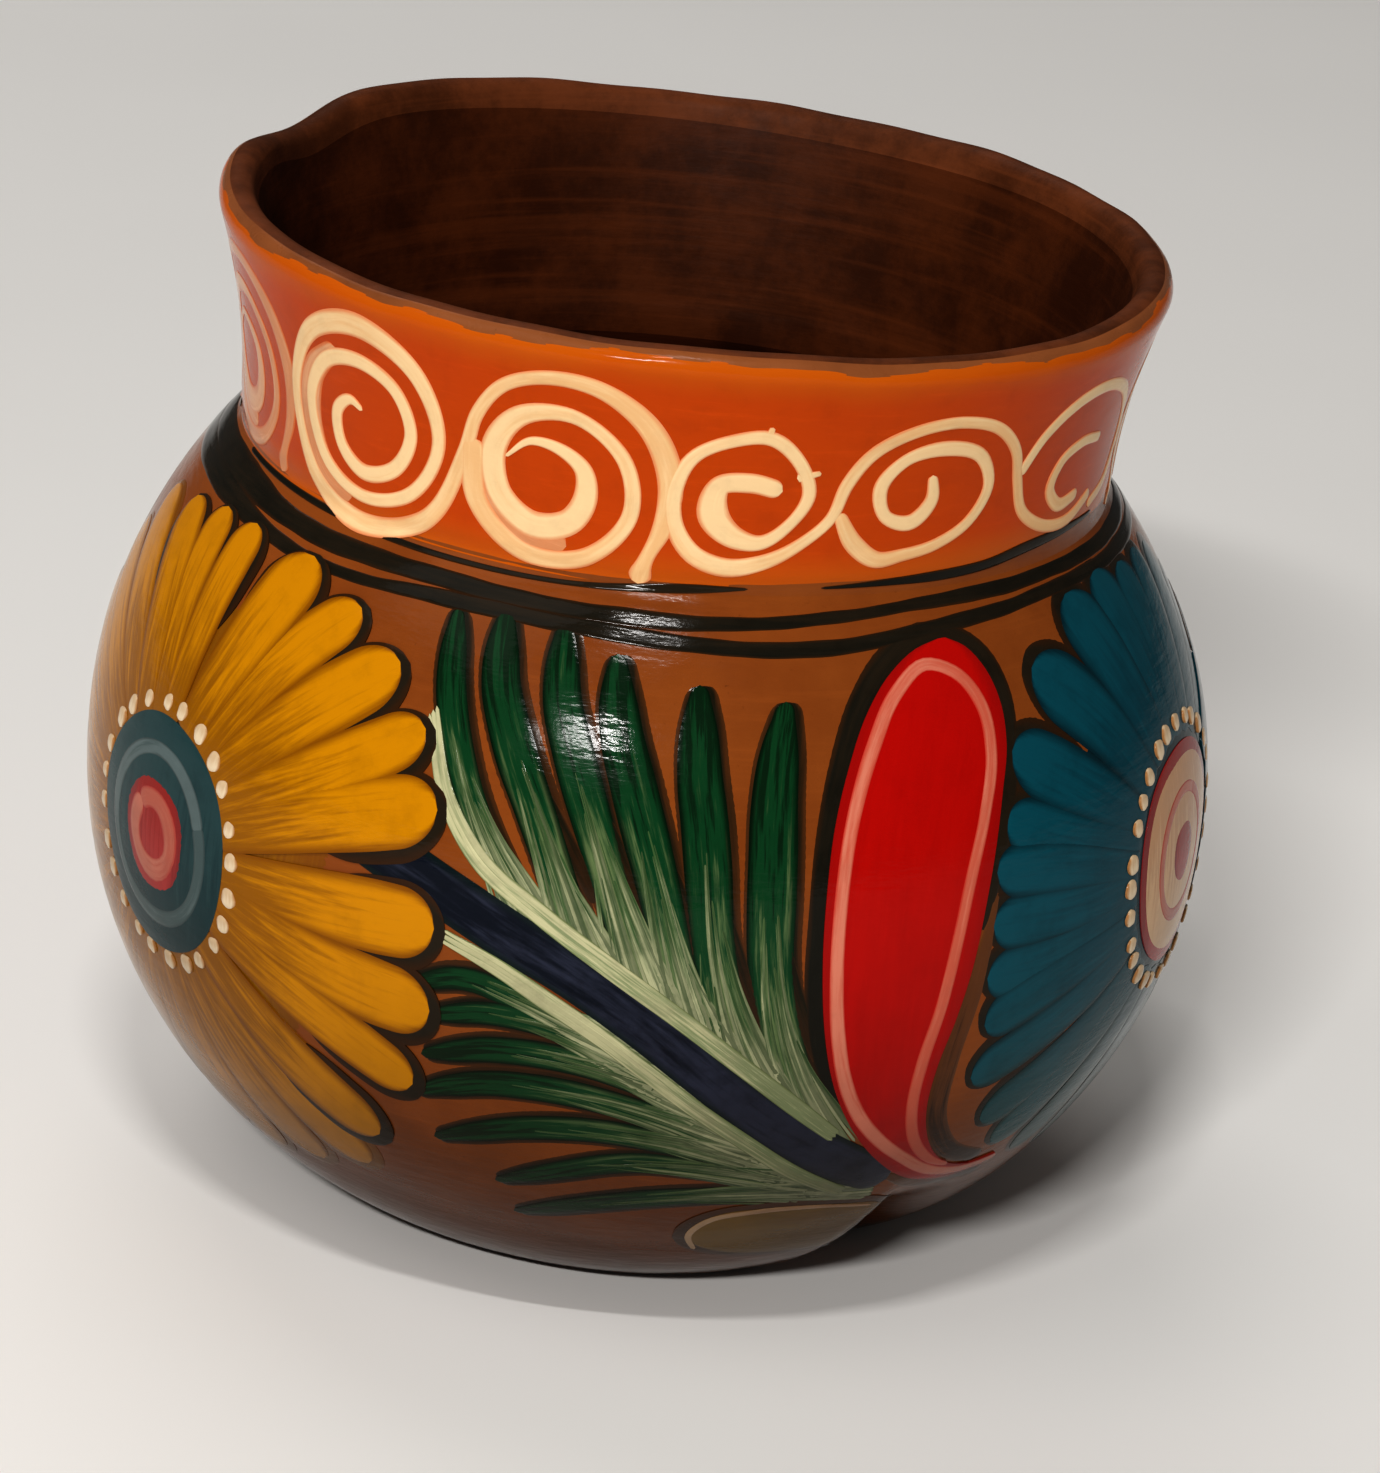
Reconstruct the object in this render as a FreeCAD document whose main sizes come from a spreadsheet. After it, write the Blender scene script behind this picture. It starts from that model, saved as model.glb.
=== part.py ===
"""Round-bellied clay pot with a flared collar neck, built from the pieces a potter joins.

Millimetres.  +Z is up, and the origin is the centre of the flat base.  Every piece is a
section drawn in the XZ plane and turned about the Z axis.

The belly is one arc that swings about a centre beside the axis.  The neck is a second
arc, hollow towards the outside, whose centre lies outside the pot at the height where
the neck meets the shoulder.
"""
import FreeCAD, Part
import os
import re
import Sketcher

# Driving dimensions: name, value in millimetres, meaning.
DIMENSIONS = (
    ("belly_radius", 65.0, "widest outside radius"),
    ("belly_arc", 56.0, "radius of the belly's outside arc"),
    ("belly_height", 50.0, "height of the widest point, where the two bowls are joined"),
    ("wall", 4.0, "wall thickness, square to the surface"),
    ("floor_thickness", 5.0, "thickness of the floor"),
    ("floor_radius", 30.0, "radius of the round slab that makes the floor"),
    ("neck_height", 88.5, "height where the neck meets the shoulder"),
    ("neck_arc", 80.0, "radius of the neck's hollow outside arc"),
    ("lip_height", 112.0, "height where the lip starts"),
    ("lip_centre", 113.5, "height of the centre of the lip's round top"),
    ("slip_bottom", 89.0, "lower edge of the orange slip coat"),
    ("slip_thickness", 0.3, "thickness of the orange slip coat"),
    ("band_bottom", 83.2, "lower edge of the black band on the shoulder"),
    ("band_top", 86.8, "upper edge of the black band on the shoulder"),
    ("band_thickness", 0.2, "thickness of the black band"),
)
NAMES = re.compile(r"\b(" + "|".join(name for name, _, _ in DIMENSIONS) + r")\b")

document = FreeCAD.newDocument("ClayPot")
sheet = document.addObject("Spreadsheet::Sheet", "Dimensions")
for row, (name, value, meaning) in enumerate(DIMENSIONS, start=1):
    sheet.set(f"A{row}", meaning)
    sheet.set(f"B{row}", str(value))
    sheet.setAlias(f"B{row}", name)
document.recompute()


def bound(formula):
    """A formula of dimension names, written as an expression on the sheet."""
    return NAMES.sub(r"Dimensions.\1", formula)


def number(formula):
    """What a formula comes to with the sheet's present values."""
    return float(sheet.evalExpression(bound(formula)))


# Radii at a height.  `inset` is how far the arc lies inside the outside surface.
BELLY_CENTRE = "(belly_radius - belly_arc)"


def belly_r(height, inset="0"):
    return f"({BELLY_CENTRE} + sqrt((belly_arc - {inset})^2 - ({height} - belly_height)^2))"


NECK_R = belly_r("neck_height")
NECK_CENTRE = f"({NECK_R} + neck_arc)"


def neck_r(height, inset="0"):
    return f"({NECK_CENTRE} - sqrt((neck_arc + {inset})^2 - ({height} - neck_height)^2))"


# The throat is where the belly's inside arc reaches the neck's inside radius.
THROAT_R = f"({NECK_R} - wall)"
THROAT_HEIGHT = f"(belly_height + sqrt((belly_arc - wall)^2 - ({THROAT_R} - {BELLY_CENTRE})^2))"

# Arcs: centre's radius, centre's height and the arc's own radius.
BELLY_OUTSIDE = (BELLY_CENTRE, "belly_height", "belly_arc")
BELLY_INSIDE = (BELLY_CENTRE, "belly_height", "(belly_arc - wall)")
NECK_OUTSIDE = (NECK_CENTRE, "neck_height", "neck_arc")
NECK_INSIDE = (NECK_CENTRE, "neck_height", "(neck_arc + wall)")

# Corners that two pieces share: radius and height.
FLOOR_UNDER = ("floor_radius", "0")
FLOOR_OVER = ("floor_radius", "floor_thickness")
SEAM_OUTSIDE = ("belly_radius", "belly_height")
SEAM_INSIDE = ("(belly_radius - wall)", "belly_height")
NECK_FOOT = (NECK_R, "neck_height")
THROAT = (THROAT_R, THROAT_HEIGHT)
LIP_FOOT_OUTSIDE = (neck_r("lip_height"), "lip_height")
LIP_FOOT_INSIDE = (neck_r("lip_height", "wall"), "lip_height")


def origin_plane(body, role):
    return next(plane for plane in body.Origin.OriginFeatures if plane.Role == role)


def place(corner):
    return FreeCAD.Vector(number(corner[0]), number(corner[1]), 0)


def nearer_end(sketch, edge, point):
    """Which end of an edge, 1 or 2, lies at a point: an arc may be stored turned round."""
    return min((1, 2), key=lambda end: (sketch.getPoint(edge, end) - point).Length)


def add_edge(sketch, start, finish, arc):
    """Draw one edge of a section: a straight line, or an arc that is given by its centre."""
    if arc is None:
        return sketch.addGeometry(Part.LineSegment(start, finish), False)
    centre = place(arc[:2])
    middle = (start + finish) * 0.5 - centre
    middle.normalize()
    through = centre + middle * number(arc[2])
    return sketch.addGeometry(Part.Arc(start, through, finish), False)


def tie(sketch, constraint, formula):
    """Add a constraint and drive its value from the sheet."""
    index = sketch.addConstraint(constraint)
    sketch.setExpression(f"Constraints[{index}]", bound(formula))


def tie_corner(sketch, edge, end, corner):
    """Hold one end of an edge at a radius and a height."""
    for kind, axis, formula in (("DistanceX", -2, corner[0]), ("DistanceY", -1, corner[1])):
        if formula == "0":
            sketch.addConstraint(Sketcher.Constraint("PointOnObject", edge, end, axis))
        else:
            tie(sketch, Sketcher.Constraint(kind, -1, 1, edge, end, number(formula)), formula)


def turned_piece(label, section):
    """A body made by turning a closed section once round the Z axis.

    section lists (corner, arc): the edge from that corner to the next one is a line
    where arc is None.
    """
    body = document.addObject("PartDesign::Body", label)
    body.Label = label
    sketch = body.newObject("Sketcher::SketchObject", f"{label}_section")
    sketch.AttachmentSupport = [(origin_plane(body, "XZ_Plane"), "")]
    sketch.MapMode = "FlatFace"
    points = [place(corner) for corner, _ in section]
    following = points[1:] + points[:1]
    arcs = [arc for _, arc in section]
    edges = [add_edge(sketch, *ends) for ends in zip(points, following, arcs)]
    for index, edge in enumerate(edges):
        corner, arc = section[index]
        start = nearer_end(sketch, edge, points[index])
        before = edges[index - 1]
        meeting = (before, nearer_end(sketch, before, points[index]), edge, start)
        sketch.addConstraint(Sketcher.Constraint("Coincident", *meeting))
        tie_corner(sketch, edge, start, corner)
        if arc is not None:
            tie(sketch, Sketcher.Constraint("Radius", edge, number(arc[2])), arc[2])
    revolution = body.newObject("PartDesign::Revolution", f"{label}_turn")
    revolution.Profile = sketch
    revolution.ReferenceAxis = (sketch, ["V_Axis"])
    revolution.Angle = 360.0
    sketch.Visibility = False
    return body


def base_disc():
    """The round slab that the pot is started on."""
    return turned_piece("base_disc", [
        (("0", "0"), None),
        (FLOOR_UNDER, None),
        (FLOOR_OVER, None),
        (("0", "floor_thickness"), None),
    ])


def lower_bowl():
    """The lower half of the belly, from the slab up to the seam at the widest point."""
    return turned_piece("lower_bowl", [
        (FLOOR_UNDER, None),
        ((belly_r("0"), "0"), BELLY_OUTSIDE),
        (SEAM_OUTSIDE, None),
        (SEAM_INSIDE, BELLY_INSIDE),
        ((belly_r("floor_thickness", "wall"), "floor_thickness"), None),
        (FLOOR_OVER, None),
    ])


def shoulder():
    """The upper half of the belly; its top edge is cut aslant to take the neck."""
    return turned_piece("shoulder", [
        (SEAM_OUTSIDE, BELLY_OUTSIDE),
        (NECK_FOOT, None),
        (THROAT, BELLY_INSIDE),
        (SEAM_INSIDE, None),
    ])


def neck_collar():
    """The strap of clay that stands on the shoulder and flares towards the lip."""
    return turned_piece("neck_collar", [
        (NECK_FOOT, NECK_OUTSIDE),
        (LIP_FOOT_OUTSIDE, None),
        (LIP_FOOT_INSIDE, NECK_INSIDE),
        ((THROAT_R, "neck_height"), None),
        (THROAT, None),
    ])


def lip_coil():
    """The coil that finishes the neck, wiped to a round top."""
    outside = neck_r("lip_centre")
    inside = neck_r("lip_centre", "wall")
    round_top = (f"(({outside} + {inside}) / 2)", "lip_centre", f"(({outside} - {inside}) / 2)")
    crest = (round_top[0], f"(lip_centre + {round_top[2]})")
    return turned_piece("lip_coil", [
        (LIP_FOOT_OUTSIDE, None),
        ((outside, "lip_centre"), round_top),
        (crest, round_top),
        ((inside, "lip_centre"), None),
        (LIP_FOOT_INSIDE, None),
    ])


def orange_slip_coat():
    """The coat of coloured slip on the outside of the neck, up to the bare lip."""
    coat = (NECK_CENTRE, "neck_height", "(neck_arc - slip_thickness)")
    return turned_piece("orange_slip_coat", [
        ((neck_r("slip_bottom"), "slip_bottom"), None),
        ((neck_r("slip_bottom", "(0 - slip_thickness)"), "slip_bottom"), coat),
        ((neck_r("lip_height", "(0 - slip_thickness)"), "lip_height"), None),
        (LIP_FOOT_OUTSIDE, NECK_OUTSIDE),
    ])


def black_band_coat():
    """The band of black paint round the top of the shoulder."""
    coat = (BELLY_CENTRE, "belly_height", "(belly_arc + band_thickness)")
    return turned_piece("black_band_coat", [
        ((belly_r("band_bottom"), "band_bottom"), None),
        ((belly_r("band_bottom", "(0 - band_thickness)"), "band_bottom"), coat),
        ((belly_r("band_top", "(0 - band_thickness)"), "band_top"), None),
        ((belly_r("band_top"), "band_top"), BELLY_OUTSIDE),
    ])


pieces = [
    base_disc(),
    lower_bowl(),
    shoulder(),
    neck_collar(),
    lip_coil(),
    orange_slip_coat(),
    black_band_coat(),
]
document.recompute()

for item in document.Objects:
    if {"Invalid", "Error"} & set(item.State):
        raise RuntimeError(f"{item.Label} failed: {item.State}")
for piece in pieces:
    if piece.Shape.isNull() or not piece.Shape.isValid():
        raise RuntimeError(f"{piece.Label} has no valid shape")

os.makedirs("parts", exist_ok=True)
for piece in pieces:
    piece.Shape.exportStep(f"parts/{piece.Label}.step")
    box = piece.Shape.optimalBoundingBox()
    print(f"{piece.Label}: {piece.Shape.Volume / 1000:.2f} cm3, z {box.ZMin:.2f} to {box.ZMax:.2f},"
          f" radius {box.XMax:.2f}")
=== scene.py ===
"""Painted clay pot: the looks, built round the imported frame.

The five clay pieces are turned again as fine meshes with the unevenness of hand work.  Every
coat of slip or paint is a thin closed skin of its own that follows that uneven surface.

Lengths are millimetres until a mesh is made.  A place on the outside is (azimuth, s): the
azimuth runs from the front (-Y) towards +X, and s is the length along the outline, up from
the edge of the foot.  A motif is drawn flat, as (x, s), round its own azimuth.
"""
import bpy
import math
import numpy as np
from mathutils import Matrix, Vector


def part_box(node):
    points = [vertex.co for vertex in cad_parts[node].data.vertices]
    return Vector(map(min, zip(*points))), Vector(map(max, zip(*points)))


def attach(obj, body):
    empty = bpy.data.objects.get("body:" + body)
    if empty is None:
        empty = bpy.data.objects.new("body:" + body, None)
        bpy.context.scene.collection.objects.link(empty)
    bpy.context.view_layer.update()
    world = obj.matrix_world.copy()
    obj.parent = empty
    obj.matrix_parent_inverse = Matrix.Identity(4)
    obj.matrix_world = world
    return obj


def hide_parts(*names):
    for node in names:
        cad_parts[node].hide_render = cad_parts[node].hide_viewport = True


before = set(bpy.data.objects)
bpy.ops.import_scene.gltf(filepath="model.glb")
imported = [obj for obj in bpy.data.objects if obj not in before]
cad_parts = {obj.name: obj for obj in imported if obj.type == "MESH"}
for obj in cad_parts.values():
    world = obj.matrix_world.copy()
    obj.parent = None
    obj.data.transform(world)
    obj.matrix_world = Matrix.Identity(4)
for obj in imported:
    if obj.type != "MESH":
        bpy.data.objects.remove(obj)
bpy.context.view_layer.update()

MM = 0.001
TURN = 2 * math.pi

# ---------------- form, from the frame

BELLY_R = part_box("lower_bowl")[1].x / MM
BELLY_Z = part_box("lower_bowl")[1].z / MM
NECK_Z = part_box("shoulder")[1].z / MM
LIP_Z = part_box("lip_coil")[0].z / MM
TOP_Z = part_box("lip_coil")[1].z / MM
FLOOR_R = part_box("base_disc")[1].x / MM
FLOOR_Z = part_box("base_disc")[1].z / MM
BELLY_ARC = 56.0
NECK_ARC = 80.0
WALL = 4.0
FILLET = 5.0          # length over which the shoulder turns into the neck
ARC_SIDE = BELLY_R - BELLY_ARC
NECK_ANGLE = math.asin((NECK_Z - BELLY_Z) / BELLY_ARC)
NECK_R = ARC_SIDE + BELLY_ARC * math.cos(NECK_ANGLE)
SEAM_S = BELLY_ARC * math.asin(BELLY_Z / BELLY_ARC)
NECK_S = SEAM_S + BELLY_ARC * NECK_ANGLE
LIP_S = NECK_S + NECK_ARC * math.asin((LIP_Z - NECK_Z) / NECK_ARC)
ROUND_S = LIP_S + 1.55            # where the round top of the lip starts

AROUND = 480          # mesh columns round the pot
COLUMNS = np.linspace(0, TURN, AROUND, endpoint=False)
ROW = 0.9             # height of a mesh row


def smooth(t):
    t = np.clip(t, 0.0, 1.0)
    return t * t * (3 - 2 * t)


def bump(value, centre, width):
    """A bell of height 1 about a centre."""
    return np.exp(-0.5 * ((value - centre) / width) ** 2)


def wrap(angle):
    return (angle + math.pi) % TURN - math.pi


def outline(s):
    """Radius and height of the true turned outside at a length along it."""
    belly = (s - SEAM_S) / BELLY_ARC
    neck = (s - NECK_S) / NECK_ARC
    share = smooth((s - NECK_S) / FILLET + 0.5)
    belly_r = ARC_SIDE + BELLY_ARC * np.cos(belly)
    belly_z = BELLY_Z + BELLY_ARC * np.sin(belly)
    neck_r = NECK_R + NECK_ARC * (1 - np.cos(neck))
    neck_z = NECK_Z + NECK_ARC * np.sin(neck)
    return (1 - share) * belly_r + share * neck_r, (1 - share) * belly_z + share * neck_z


# ---------------- hand-made unevenness

RIM_DIP = (math.radians(-114), math.radians(7.5), -2.3)      # azimuth, half width, depth
DENT = (math.radians(33.5), math.radians(36.5), math.radians(62), 6.4)   # steep side, floor, far end, depth
DENT_TOP = (6, 27)                     # the dent starts to fade at this s, over this length
SOFTER = (math.radians(9), 0.35)       # how much the dent is blurred and shallower on the inside


def rim_height(azimuth):
    """How far the lip rises and falls round the pot."""
    a = azimuth - math.pi / 2
    waves = (-0.8 * np.cos(a) + 0.4 * np.sin(a) + 0.15 * np.cos(2 * a) - 0.35 * np.sin(2 * a)
             + 0.1 * np.cos(3 * a) + 0.4 * np.sin(3 * a))
    centre, width, depth = RIM_DIP
    return waves + depth * bump(wrap(azimuth - centre), 0.0, width)


def wobble(azimuth, s):
    """Small swellings left by the hands and the mould."""
    return (0.16 * np.sin(2 * azimuth + 0.7) + 0.12 * np.sin(3 * azimuth - s / 19)
            + 0.07 * np.sin(7 * azimuth + s / 8) + 0.05 * np.sin(s / 4.3 + 2 * azimuth))


def dent_depth(azimuth, s, soft):
    """The place low on the right where the damp pot was pressed in, steep on its left side."""
    start, floor, end, depth = DENT
    blur = SOFTER[0] * soft
    a = wrap(azimuth)
    sideways = smooth((a - start + blur) / (floor - start + 2 * blur))
    sideways = sideways * (1 - smooth((a - floor) / (end - floor)))
    return depth * (1 - SOFTER[1] * soft) * sideways * (1 - smooth((s - DENT_TOP[0]) / DENT_TOP[1]))


def turned(azimuth, s, soft):
    """A point of the uneven wall below the round of the lip."""
    r, z = outline(s)
    z = z + smooth((z / TOP_Z - 0.72) / 0.28) * rim_height(azimuth)
    r = r + wobble(azimuth, s)
    tilt = (s - SEAM_S) / BELLY_ARC
    dent = dent_depth(azimuth, s, soft)
    r = r - dent * np.cos(tilt)
    z = z - dent * np.sin(tilt)
    return np.stack([r * np.sin(azimuth), -r * np.cos(azimuth), z], axis=-1)


def over_lip(azimuth, angle):
    """A point of the round top of the lip: angle 0 is its outside and pi its inside."""
    foot = turned(azimuth, ROUND_S, 0.0)
    up = turned(azimuth, ROUND_S + 0.5, 0.0) - turned(azimuth, ROUND_S - 0.5, 0.0)
    up /= np.linalg.norm(up, axis=-1, keepdims=True)
    sideways = np.stack([np.cos(azimuth), np.sin(azimuth), np.zeros_like(azimuth)], axis=-1)
    inwards = np.cross(up, sideways)
    swell = 1 + 0.05 * np.sin(5 * azimuth + 1) + 0.05 * np.sin(11 * azimuth) + 0.03 * np.sin(23 * azimuth + 2)
    rise = WALL / 2 * swell * np.sin(angle)
    return foot + inwards * (WALL / 2 * (1 - np.cos(angle)))[..., None] + up * rise[..., None]


def formed(azimuth, s, soft=0.0):
    """A point of the uneven outside, before any lift; above ROUND_S it goes over the lip."""
    below = turned(azimuth, np.minimum(s, ROUND_S), soft)
    angle = np.clip((s - ROUND_S) / (WALL / 2), 0, math.pi)
    return np.where((s > ROUND_S)[..., None], over_lip(azimuth, angle), below)


def on_pot(azimuth, s, lift=0.0, soft=0.0):
    """Points at a lift above the uneven outside, square to it."""
    azimuth, s = np.broadcast_arrays(np.asarray(azimuth, float), np.asarray(s, float))
    step = 0.25
    round_it = formed(azimuth + step / BELLY_R, s, soft) - formed(azimuth - step / BELLY_R, s, soft)
    up_it = formed(azimuth, s + step, soft) - formed(azimuth, s - step, soft)
    normal = np.cross(round_it, up_it)
    normal /= np.linalg.norm(normal, axis=-1, keepdims=True)
    return formed(azimuth, s, soft) + normal * np.asarray(lift, float)[..., None]


# ---------------- meshes

def make_mesh(name, points, faces, attributes, body_material):
    """A smooth-shaded object that rides on the pot; points are in millimetres."""
    mesh = bpy.data.meshes.new(name)
    mesh.from_pydata((np.asarray(points) * MM).tolist(), [], faces)
    for label, values in attributes.items():
        values = np.asarray(values, np.float32)
        kind = "FLOAT" if values.ndim == 1 else "FLOAT_VECTOR"
        layer = mesh.attributes.new(label, kind, "POINT")
        layer.data.foreach_set("value" if kind == "FLOAT" else "vector", values.ravel())
    mesh.validate()
    mesh.shade_smooth()
    mesh.set_sharp_from_angle(angle=math.radians(50))
    mesh.materials.append(body_material)
    piece = bpy.data.objects.new(name, mesh)
    bpy.context.scene.collection.objects.link(piece)
    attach(piece, "root")
    return piece


def lathe(name, rows, lining, body_material):
    """Join rings of points into a closed piece.

    The last ring joins the first, unless the ends are single points on the axis.
    lining says, ring by ring, whether a ring is part of the pot's inside.
    """
    starts = np.cumsum([0] + [len(row) for row in rows])
    faces = []
    pairs = [(k, k + 1) for k in range(len(rows) - 1)]
    if len(rows[0]) > 1:
        pairs.append((len(rows) - 1, 0))
    for low, high in pairs:
        a, b = int(starts[low]), int(starts[high])
        if len(rows[low]) == 1:
            faces += [(a, b + (k + 1) % AROUND, b + k) for k in range(AROUND)]
        elif len(rows[high]) == 1:
            faces += [(a + k, a + (k + 1) % AROUND, b) for k in range(AROUND)]
        else:
            faces += [(a + k, a + (k + 1) % AROUND, b + (k + 1) % AROUND, b + k) for k in range(AROUND)]
    inside = np.concatenate([np.full(len(row), flag, float) for row, flag in zip(rows, lining)])
    return make_mesh(name, np.concatenate(rows), faces, {"lining": inside}, body_material)


def crowded(count):
    """Places from -1 to 1 that lie closer together towards both ends."""
    return np.sin(np.linspace(-1, 1, count) * math.pi / 2)


def profile_line(points, count):
    """A smooth line through given points; every column is carried along."""
    points = np.asarray(points, float)
    along = np.concatenate([[0.0], np.cumsum(np.hypot(*np.diff(points[:, :2], axis=0).T))])
    slope = np.gradient(points, along, axis=0)
    t = np.linspace(0.0, along[-1], count)
    k = np.clip(np.searchsorted(along, t, side="right") - 1, 0, len(points) - 2)
    span = (along[k + 1] - along[k])[:, None]
    f = (t[:, None] - along[k][:, None]) / span
    return ((2 * f ** 3 - 3 * f ** 2 + 1) * points[k] + (f ** 3 - 2 * f ** 2 + f) * span * slope[k]
            + (3 * f ** 2 - 2 * f ** 3) * points[k + 1] + (f ** 3 - f ** 2) * span * slope[k + 1])


class Coat:
    """One colour of slip or paint: a set of thin closed patches that makes one piece."""

    BURIED = -0.12        # the underside of a coat lies this far inside the clay
    RIM = 0.3             # the share of the half width over which a coat thins out to its edge
    TUCK = 0.01           # how far that edge dips below the coat's lift
    BAND_RIM = 0.2        # the same two for a band right round the pot
    BAND_TUCK = 0.02

    def __init__(self, name, slot, lift, thickness, body_material):
        self.name, self.slot, self.material = name, slot, body_material
        self.lift, self.thickness = lift, thickness
        self.points, self.faces, self.mark, self.flow = [], [], [], []
        self.count = 0
        self.strokes = 0

    def patch(self, home, x, s, t, v, seed=None, raise_by=0.0):
        """Add a skin over a grid of (x, s).

        t runs 0..1 along it and v -1..1 across it; |v| = 1 and the ends are its edges.
        """
        x, s, t, v = np.broadcast_arrays(x, s, t, v)
        rows, columns = x.shape
        seed = self.strokes * 0.618 % 1.0 if seed is None else seed
        self.strokes += 1
        azimuth = home + x / outline(s)[0]
        edge = np.clip(np.minimum((1 - np.abs(v)) / self.RIM, np.minimum(t, 1 - t) * rows / 2.0), 0, 1)
        crown = np.sin(edge * math.pi / 2) * (0.8 + 0.2 * (1 - v * v))
        top = on_pot(azimuth, s, self.lift + raise_by - self.TUCK + (self.thickness + self.TUCK) * crown)
        grid = np.arange(rows * columns).reshape(rows, columns) + self.count
        bottom = grid + rows * columns
        ring = np.concatenate([grid[0], grid[1:, -1], grid[-1, -2::-1], grid[-2:0:-1, 0]])
        under = ring + rows * columns
        quads = [(grid[:-1, :-1], grid[:-1, 1:], grid[1:, 1:], grid[1:, :-1]),
                 (bottom[:-1, :-1], bottom[1:, :-1], bottom[1:, 1:], bottom[:-1, 1:]),
                 (np.roll(ring, -1), ring, under, np.roll(under, -1))]
        length = np.hypot(np.diff(x, axis=0), np.diff(s, axis=0)).mean(axis=1).sum()
        width = np.hypot(np.diff(x, axis=1), np.diff(s, axis=1)).sum(axis=1)[:, None] / 2
        self.add(azimuth, s, top, quads, (t, v, seed), (t * length, v * width, seed * 37.0))

    def add(self, azimuth, s, top, quads, mark, flow):
        """Add a grid of top points, its underside inside the clay, and the faces of both."""
        under = on_pot(azimuth, s, self.BURIED)
        self.points += [top.reshape(-1, 3), under.reshape(-1, 3)]
        for quad in quads:
            self.faces += np.stack([corner.ravel() for corner in quad], axis=1).tolist()
        for values, label in ((self.mark, mark), (self.flow, flow)):
            label = np.stack(np.broadcast_arrays(*label, azimuth)[:3], axis=-1).reshape(-1, 3)
            values += [label, label]
        self.count += 2 * azimuth.size

    def stroke(self, home, points, ends=(1.0, 1.0), seed=None, raise_by=0.0, step=0.8, across=9):
        """A brush stroke through points (x, s, half width).

        ends tells how round each end is: 1 is a half circle, near 0 keeps the full width.
        """
        rough = profile_line(points, 40)
        length = np.hypot(*np.diff(rough[:, :2], axis=0).T).sum()
        rows = max(10, int(length / step))
        line = profile_line(points, rows)
        t = np.linspace(0.0, 1.0, rows)
        # Rows crowd towards the ends, so that the ends come out round.
        eased = t - 0.5 / TURN * np.sin(TURN * t)
        line = np.stack([np.interp(eased, t, column) for column in line.T], axis=1)
        width = np.maximum(line[:, 2], 0.02)
        for end, ahead in ((ends[0], eased), (ends[1], 1 - eased)):
            if end > 0:
                cap = np.clip(ahead * length / (end * np.maximum(width, 0.3)), 0, 1)
                width = width * np.sqrt(np.maximum(1 - (1 - cap) ** 2, 0.0004))
        tangent = np.gradient(line[:, :2], axis=0)
        tangent /= np.linalg.norm(tangent, axis=1, keepdims=True) + 1e-9
        side = np.stack([-tangent[:, 1], tangent[:, 0]], axis=1)
        v = crowded(across)
        x = line[:, :1] + side[:, :1] * width[:, None] * v
        s = line[:, 1:2] + side[:, 1:] * width[:, None] * v
        self.patch(home, x, s, eased[:, None], v, seed, raise_by)

    def between(self, home, left, right, rows, across):
        """Fill the space between two lines, each given by points (x, s)."""
        a = profile_line(left, rows)
        b = profile_line(right, rows)
        v = crowded(across)
        share = (v[None, :, None] + 1) / 2
        grid = a[:, None] * (1 - share) + b[:, None] * share
        self.patch(home, grid[..., 0], grid[..., 1], np.linspace(0, 1, rows)[:, None], v)

    def disc(self, home, centre, radius, raise_by=0.0, uneven=0.0):
        """A round dab; uneven makes its edge wander."""
        count = max(16, int(radius * 9))
        angle = np.linspace(0, TURN, count, endpoint=False)
        wander = 1 + uneven * (np.sin(3 * angle + centre[0]) + 0.6 * np.sin(5 * angle + centre[1]))
        v = crowded(max(9, int(radius * 2.4) | 1))
        t = (v + 1) / 2
        tt, vv = np.meshgrid(2 * t - 1, v, indexing="ij")
        # A square grid pressed into a round one.
        px = vv * np.sqrt(1 - tt ** 2 / 2)
        py = tt * np.sqrt(1 - vv ** 2 / 2)
        reach = np.interp(np.arctan2(py, px) % TURN, angle, wander, period=TURN)
        x = centre[0] + radius * reach * px
        s = centre[1] + radius * reach * py
        self.patch(home, x, s, (tt + 1) / 2, vv, raise_by=raise_by)

    def ring_band(self, lower, upper, across, seed=0.0):
        """A band right round the pot between two edges given as functions of azimuth."""
        v = crowded(across)
        low, high = lower(COLUMNS), upper(COLUMNS)
        s = low[:, None] + (high - low)[:, None] * (v + 1) / 2
        a = np.repeat(COLUMNS[:, None], across, 1)
        crown = np.sin(np.clip((1 - np.abs(v)) / self.BAND_RIM, 0, 1) * math.pi / 2)
        top = on_pot(a, s, self.lift - self.BAND_TUCK + (self.thickness + self.BAND_TUCK) * crown)
        grid = np.arange(AROUND * across).reshape(AROUND, across) + self.count
        bottom = grid + AROUND * across
        after, under_after = np.roll(grid, -1, axis=0), np.roll(bottom, -1, axis=0)
        quads = [(grid[:, :-1], after[:, :-1], after[:, 1:], grid[:, 1:]),
                 (bottom[:, :-1], bottom[:, 1:], under_after[:, 1:], under_after[:, :-1]),
                 (grid[:, :1], bottom[:, :1], under_after[:, :1], after[:, :1]),
                 (grid[:, -1:], after[:, -1:], under_after[:, -1:], bottom[:, -1:])]
        # The brush noise runs round a circle, so that it meets itself at the back.
        flow = (NECK_R * np.cos(a), s, NECK_R * ALONG * np.sin(a) + seed * 37.0)
        self.add(a, s, top, quads, (0.5, v, seed), flow)

    def make(self):
        attributes = {"mark": np.concatenate(self.mark), "flow": np.concatenate(self.flow)}
        piece = make_mesh(self.name, np.concatenate(self.points), self.faces, attributes, self.material)
        return piece


# ---------------- materials

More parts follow.
